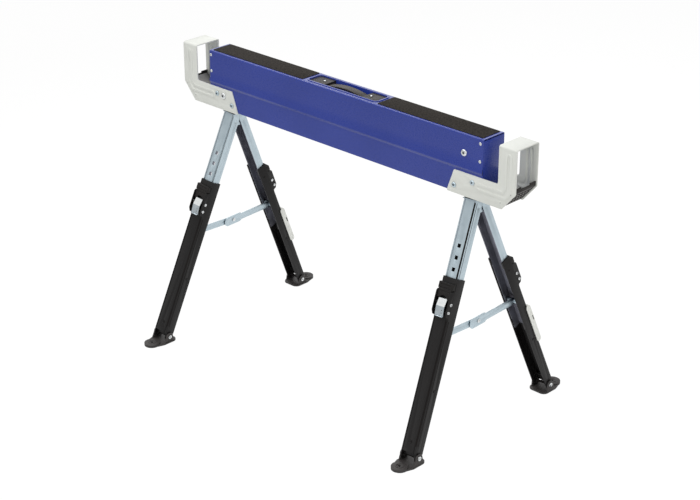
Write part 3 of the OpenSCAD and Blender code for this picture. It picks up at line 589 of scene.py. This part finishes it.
# Black baffle across each lower leg just above its foot pin
baffle = {"wide": 38, "thick": 1.0, "from": 560, "to": 581, "out": 5.2, "soft": 0.3}


def modelBaffle():
    bpy.ops.object.select_all(action="DESELECT")
    bpy.ops.mesh.primitive_cube_add(size=1)
    obj = bpy.context.object
    obj.scale = (baffle["wide"] * mm, baffle["thick"] * mm, (baffle["to"] - baffle["from"]) * mm)
    bpy.ops.object.transform_apply(scale=True)
    softEdges(obj, baffle["soft"], 2)
    return obj


baffleModel = modelBaffle()
middle = (baffle["from"] + baffle["to"]) / 2
for leg in legs:
    piece = copyTo(baffleModel, [onLeg(leg, 0, baffle["out"], middle)], "footBaffle_" + leg)
    finishPiece(piece, bodyOf["lower_leg_" + leg], "black_coat")
dropModel(baffleModel)
print("foot baffles made")


# Raised ring round the screw hole in each toe
ring = {"radius": 8.5, "bead": 1.5, "flat": 0.8, "under": 0.3, "height": 7}


def modelRing():
    bpy.ops.object.select_all(action="DESELECT")
    bpy.ops.mesh.primitive_torus_add(major_radius=ring["radius"] * mm, minor_radius=ring["bead"] * mm,
                                     major_segments=40, minor_segments=12)
    obj = bpy.context.object
    bpy.ops.object.mode_set(mode="EDIT")
    bpy.ops.mesh.select_all(action="SELECT")
    bpy.ops.transform.resize(value=(1, 1, ring["flat"]))
    bpy.ops.mesh.bisect(plane_co=(0, 0, -ring["under"] * mm), plane_no=(0, 0, 1), clear_inner=True,
                        use_fill=False)
    leaveEdit()
    return obj


ringModel = modelRing()
for leg in legs:
    node = "foot_" + leg
    hole = next(mount for mount in record["mounts"] if mount["name"] == "toe_hole_" + leg)
    top = Vector(hole["pos_m"])
    piece = copyTo(ringModel, [Matrix.Translation((top.x, top.y, ring["height"] * mm))], "toeRing_" + leg)
    finishPiece(piece, bodyOf[node], slotOf[node], (), 40, footPolymer)
dropModel(ringModel)
print("toe rings made")


# Painted shade: square black cups behind the height holes of the one leg whose holes look black, standing in
# for the shade inside them; the lowest hole has none, so that the folding stay clears it
shadeCup = {"leg": "front_right", "side": 9, "deep": 5, "wall": 0.6, "out": 10.2, "first": 90, "pitch": 27.622,
       "count": 7}


def modelShadeCup():
    bpy.ops.object.select_all(action="DESELECT")
    bpy.ops.mesh.primitive_plane_add(size=shadeCup["side"] * mm, rotation=(math.pi / 2, 0, 0))
    obj = bpy.context.object
    bpy.ops.object.transform_apply(rotation=True)
    bpy.ops.object.mode_set(mode="EDIT")
    bpy.ops.mesh.select_all(action="SELECT")
    bpy.ops.mesh.extrude_region_move(TRANSFORM_OT_translate={"value": (0, -shadeCup["deep"] * mm, 0)})
    pickFaces(obj, lambda face: face.calc_center_median().y > -shadeCup["deep"] / 10 * mm)
    bpy.ops.mesh.delete(type="FACE")
    leaveEdit()
    wall = obj.modifiers.new("wall", "SOLIDIFY")
    wall.thickness, wall.offset = shadeCup["wall"] * mm, 1.0
    applyAll(obj)
    return obj


shadeCupModel = modelShadeCup()
downs = [shadeCup["first"] + i * shadeCup["pitch"] for i in range(shadeCup["count"])]
piece = copyTo(shadeCupModel, [onLeg(shadeCup["leg"], 0, shadeCup["out"], down) for down in downs], "holeShadeCups_" + shadeCup["leg"])
finishPiece(piece, bodyOf["upper_leg_" + shadeCup["leg"]], "black_coat", (), 40, paintedShadeBlack)
dropModel(shadeCupModel)
print("hole cups made")


# Faces that a test on their place and way, seen from a given place, picks out take a second finish
def secondFinish(obj, place, finish, test):
    obj.data.materials.append(finish)
    back = place.inverted()
    turn = back.to_3x3()
    for face in obj.data.polygons:
        face.material_index = 1 if test(back @ face.center / mm, turn @ face.normal) else 0


channel = {"wallX": 17.6, "webOut": 10.6, "facing": 0.7, "lowerWallX": 20}


# Inside of an upper leg's channel, drawn in painted shade: the inner sides of both walls and of the web
def shadeInChannel(at, way):
    inWall = abs(at.x) < channel["wallX"] and way.x * at.x < -channel["facing"] * abs(at.x)
    return inWall or (at.y < channel["webOut"] and way.y < -channel["facing"])


# Stretch of a pin between the walls of a lower leg, drawn in painted shade
def shadeBetweenWalls(at, way):
    return abs(at.x) < channel["lowerWallX"]


# Upper slope of a latch lever, facing up towards the light: painted highlight, drawn in the brighter plate
def paintedTongueHighlight(at, way):
    return way.y > 0.5 and way.z > 0.1


# Edges between the cells of a bracket's insert that face up and sideways: painted highlight, drawn pale
def paintedCellHighlight(at, way):
    return way.z > 0.4 and abs(way.x) > 0.4


# Reverse side of the pressed rib, sunk into the inner faces of a bracket's plates
rib = {"crest": 38.9, "back": 4.5, "cut": 2.0}


def pressRib(obj, node):
    cutter = bpy.data.objects.new("ribCutter", frame["nodes"][node].data.copy())
    bpy.context.scene.collection.objects.link(cutter)
    takeUp(cutter)
    bpy.ops.object.mode_set(mode="EDIT")
    bpy.ops.mesh.select_all(action="SELECT")
    bpy.ops.mesh.remove_doubles(threshold=0.01 * mm)
    bpy.ops.mesh.dissolve_limited(angle_limit=math.radians(1.5))
    crest = rib["crest"] * mm
    pickFaces(cutter, lambda face: min(abs(corner.co.y) for corner in face.verts) < crest)
    bpy.ops.mesh.delete(type="FACE")
    for way in (1, -1):
        pickFaces(cutter, lambda face: face.calc_center_median().y * way > crest)
        bpy.ops.transform.translate(value=(0, -way * rib["back"] * mm, 0))
        bpy.ops.mesh.extrude_region_move(TRANSFORM_OT_translate={"value": (0, way * rib["cut"] * mm, 0)})
    leaveEdit()
    groove = obj.modifiers.new("groove", "BOOLEAN")
    groove.operation, groove.object, groove.solver = "DIFFERENCE", cutter, "EXACT"
    applyAll(obj)
    bpy.ops.object.shade_smooth_by_angle(angle=math.radians(40))
    dropModel(cutter)


# The bead's foot drawn up to the sharper fold that the photo shows
bead = {"foot": 0.645, "rise": 2 * mm, "near": 0.3 * mm}


def sharpenBead(obj):
    bpy.ops.mesh.select_mode(type="VERT")
    bpy.ops.mesh.select_all(action="DESELECT")
    shape = bmesh.from_edit_mesh(obj.data)
    for corner in shape.verts:
        corner.select_set(abs(corner.co.z - bead["foot"]) < bead["near"])
    bmesh.update_edit_mesh(obj.data)
    bpy.ops.transform.translate(value=(0, 0, bead["rise"]))


# Stay links drawn out across to the width that the photo shows; the eye and the rivet hole stay round
link = {"gain": 1.22, "eye": 5.9, "hole": 3.6}


def widenLink(obj, leg):
    joint = joints["stay_fold_" + leg]
    low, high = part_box("stay_rivet_" + leg.split("_")[1])
    pin, axis = Vector(joint["pos_m"]), Vector(joint["axis"])
    along = (low + high) / 2 - pin
    along -= axis * along.dot(axis)
    far = along.length
    along.normalize()
    flat = Matrix((axis, along, axis.cross(along))).to_4x4() @ Matrix.Translation(-pin)
    shape = bmesh.from_edit_mesh(obj.data)
    rim = []
    for corner in shape.verts:
        place = flat @ corner.co
        inEye = math.hypot(place.y, place.z) < link["eye"] * mm
        inHole = math.hypot(place.y - far, place.z) < link["hole"] * mm
        if not inEye and not inHole:
            rim.append(corner)
    bmesh.ops.scale(shape, vec=(1, 1, link["gain"]), space=flat, verts=rim)
    bmesh.update_edit_mesh(obj.data)


# Edge break in millimetres by the start of a node's name, the first that fits
edgeOf = {"beam_shell": 0.5, "end_plates": 0.4, "bracket_insert": 0.4, "bracket": 0.95, "upper_leg_pins": 0,
          "lower_leg_pins": 0, "upper_leg": 0.4, "lower_leg": 0.5, "foot": 0.9, "latch_lever": 0.4,
          "latch_cover": 1.0, "stay_link": 0.4, "cord_hook": 1.6, "yoke": 0.5, "handle_tray": 1.0,
          "handle_caps": 1.6, "grip_pads": 0.5}
otherEdge = 0.3
otherFinish = {"foot": footPolymer, "latch_cover": coverPlastic, "upper_leg_pins": zincSheet}
creased = ("latch_lever", "beam_shell")  # folded sheet whose shallow bends stay crisp
for node in frame["nodes"]:
    if node not in replaced:
        edge = next((edgeOf[key] for key in edgeOf if node.startswith(key)), otherEdge)
        smoothAngle = 9 if node.startswith(creased) else 40
        leg = "_".join(node.split("_")[-2:])
        finish = next((otherFinish[key] for key in otherFinish if node.startswith(key)), None)
        shape = sharpenBead if node == "beam_shell" else None
        if node == "stay_link_" + leg:
            shape = partial(widenLink, leg=leg)
        dressed = dressNode(node, "dressed_" + node, edge, 2, smoothAngle, finish, shape)
        # Second finishes: painted shade inside the upper legs' channels and on pins between the lower legs'
        # walls, painted highlight on the lever tongues and the inserts' cell edges
        if node == "upper_leg_" + leg:
            secondFinish(dressed, legPlace(leg), shadedZinc, shadeInChannel)
        if node == "lower_leg_pins_" + leg:
            secondFinish(dressed, legPlace(leg), paintedShadeBlack, shadeBetweenWalls)
        if node == "latch_lever_" + leg:
            secondFinish(dressed, legPlace(leg), rivetSteel, paintedTongueHighlight)
        if node in ("bracket_insert_right", "bracket_insert_left"):
            secondFinish(dressed, Matrix.Identity(4), paintedHighlightPlastic, paintedCellHighlight)
        if node in ("bracket_right", "bracket_left"):
            pressRib(dressed, node)
print("CAD pieces dressed:", len(frame["nodes"]) - len(replaced))


# Stage: pale floor, soft lamps and a white surround

stage = {"floorSize": 14.0, "floorColour": "#f2f2f0", "worldStrength": 0.72, "mirrorStrength": 0.85,
         "horizonStrength": 0.2, "horizonTop": 0.16, "cameraWhite": 0.9, "whiteLevel": 1.06,
         "nearM": 0.8, "farM": 3.0, "paintedFarShade": 0.35, "paintedLightCentre": (0.5, 0.5, 0)}

bpy.ops.object.select_all(action="DESELECT")
bpy.ops.mesh.primitive_plane_add(size=stage["floorSize"], location=(0, 0, -0.0005))
floor = bpy.context.object
floor.name = "paleFloor"
material, tree, shader, place = startFinish("paleStudioFloor", {"Roughness": 0.9})
mottle = addNode(tree, "ShaderNodeTexNoise", {"Scale": perMetre(400), "Detail": 2.0}, {"Vector": place})
floorColour = blendColours(tree, mottle.outputs["Fac"], [(0.3, "#efefed"), (0.7, stage["floorColour"])])
# Painted light on the floor: its colour is dimmed with distance from a point near the trestle, a painted pool
# of light
reach = addNode(tree, "ShaderNodeVectorMath", {"operation": "DISTANCE", 1: stage["paintedLightCentre"]}, {0: place})
paintedLightFall = addNode(tree, "ShaderNodeMapRange",
               {"From Min": stage["nearM"], "From Max": stage["farM"], "To Min": 1.0,
                "To Max": stage["paintedFarShade"]}, {"Value": reach.outputs["Value"]})
paintedPoolColour = addNode(tree, "ShaderNodeVectorMath", {"operation": "SCALE"},
                 {0: floorColour, "Scale": paintedLightFall.outputs["Result"]})
tree.links.new(paintedPoolColour.outputs["Vector"], shader.inputs["Base Color"])
# Camera rays see an even white; glossy rays see the floor glow white near the trestle, fading with the same
# distance: a painted reflection
path = addNode(tree, "ShaderNodeLightPath")
mirrored = addNode(tree, "ShaderNodeMath", {"operation": "MULTIPLY"},
                   {0: path.outputs["Is Glossy Ray"], 1: paintedLightFall.outputs["Result"]})
seen = addNode(tree, "ShaderNodeMath", {"operation": "MAXIMUM"},
               {0: path.outputs["Is Camera Ray"], 1: mirrored.outputs["Value"]})
seen = addNode(tree, "ShaderNodeMath", {"operation": "MULTIPLY", 1: stage["cameraWhite"]},
               {0: seen.outputs["Value"]})
white = addNode(tree, "ShaderNodeEmission", {"Strength": stage["whiteLevel"]})
both = addNode(tree, "ShaderNodeMixShader", None,
               {0: seen.outputs["Value"], 1: shader.outputs[0], 2: white.outputs[0]})
floorOutput = next(node for node in tree.nodes if node.type == "OUTPUT_MATERIAL")
tree.links.new(both.outputs[0], floorOutput.inputs["Surface"])
floor.data.materials.append(material)

world = bpy.data.worlds.new("softSurround")
bpy.context.scene.world = world
world.use_nodes = True
tree = world.node_tree
tree.nodes.clear()
path = addNode(tree, "ShaderNodeLightPath")
mirrored = addNode(tree, "ShaderNodeMath", {"operation": "MAXIMUM"},
                   {0: path.outputs["Is Glossy Ray"], 1: path.outputs["Is Transmission Ray"]})
way = addNode(tree, "ShaderNodeTexCoord").outputs["Generated"]
height = addNode(tree, "ShaderNodeSeparateXYZ", None, {0: way}).outputs["Z"]
sky = addNode(tree, "ShaderNodeMapRange",
              {"From Min": 0.0, "From Max": stage["horizonTop"], "To Min": stage["horizonStrength"],
               "To Max": stage["mirrorStrength"]}, {"Value": height})
level = addNode(tree, "ShaderNodeMix", {"data_type": "FLOAT", 2: stage["worldStrength"]},
                {0: mirrored.outputs[0], 3: sky.outputs["Result"]})
level = addNode(tree, "ShaderNodeMath", {"operation": "MAXIMUM"},
                {0: level.outputs["Result"], 1: path.outputs["Is Camera Ray"]})
sky = addNode(tree, "ShaderNodeBackground", {"Color": (1, 1, 1, 1)}, {"Strength": level.outputs["Value"]})
addNode(tree, "ShaderNodeOutputWorld", None, {"Surface": sky.outputs[0]})

# sheenRear only shows mirrored, as the light line along the beam's top edge and the tray's rim
lamps = {"keyFront": {"at": (-0.3, -3.0, 4.6), "size": 3.0, "watts": 72, "mirroredOnly": False},
         "fillRight": {"at": (3.6, -1.2, 2.4), "size": 2.0, "watts": 22, "mirroredOnly": False},
         "topSoft": {"at": (-2.5, 0.0, 3.9), "size": 1.6, "watts": 40, "mirroredOnly": False},
         "sheenRear": {"at": (-2.14, 2.21, 2.16), "size": 1.6, "watts": 10, "mirroredOnly": True}}
for name, lamp in lamps.items():
    light = bpy.data.lights.new(name, "AREA")
    light.energy, light.size = lamp["watts"], lamp["size"]
    holder = bpy.data.objects.new(name, light)
    holder.location = lamp["at"]
    holder.visible_diffuse = not lamp["mirroredOnly"]
    holder.rotation_euler = (Vector((0, 0, 0.4)) - Vector(lamp["at"])).to_track_quat("-Z", "Y").to_euler()
    bpy.context.scene.collection.objects.link(holder)

view = {"at": (2.7440, -2.8275, 2.1320), "azimuth": 44.068, "elevation": 24.762, "lensMm": 91.085}
cameraData = bpy.data.cameras.new("photoCamera")
cameraData.sensor_width, cameraData.lens = 36.0, view["lensMm"]
cameraData.clip_end = 50.0
camera = bpy.data.objects.new("photoCamera", cameraData)
camera.location = view["at"]
camera.rotation_euler = (math.radians(90 - view["elevation"]), 0, math.radians(view["azimuth"]))
bpy.context.scene.collection.objects.link(camera)
bpy.context.scene.camera = camera
bpy.context.scene.view_settings.view_transform = "Standard"
print("stage set")
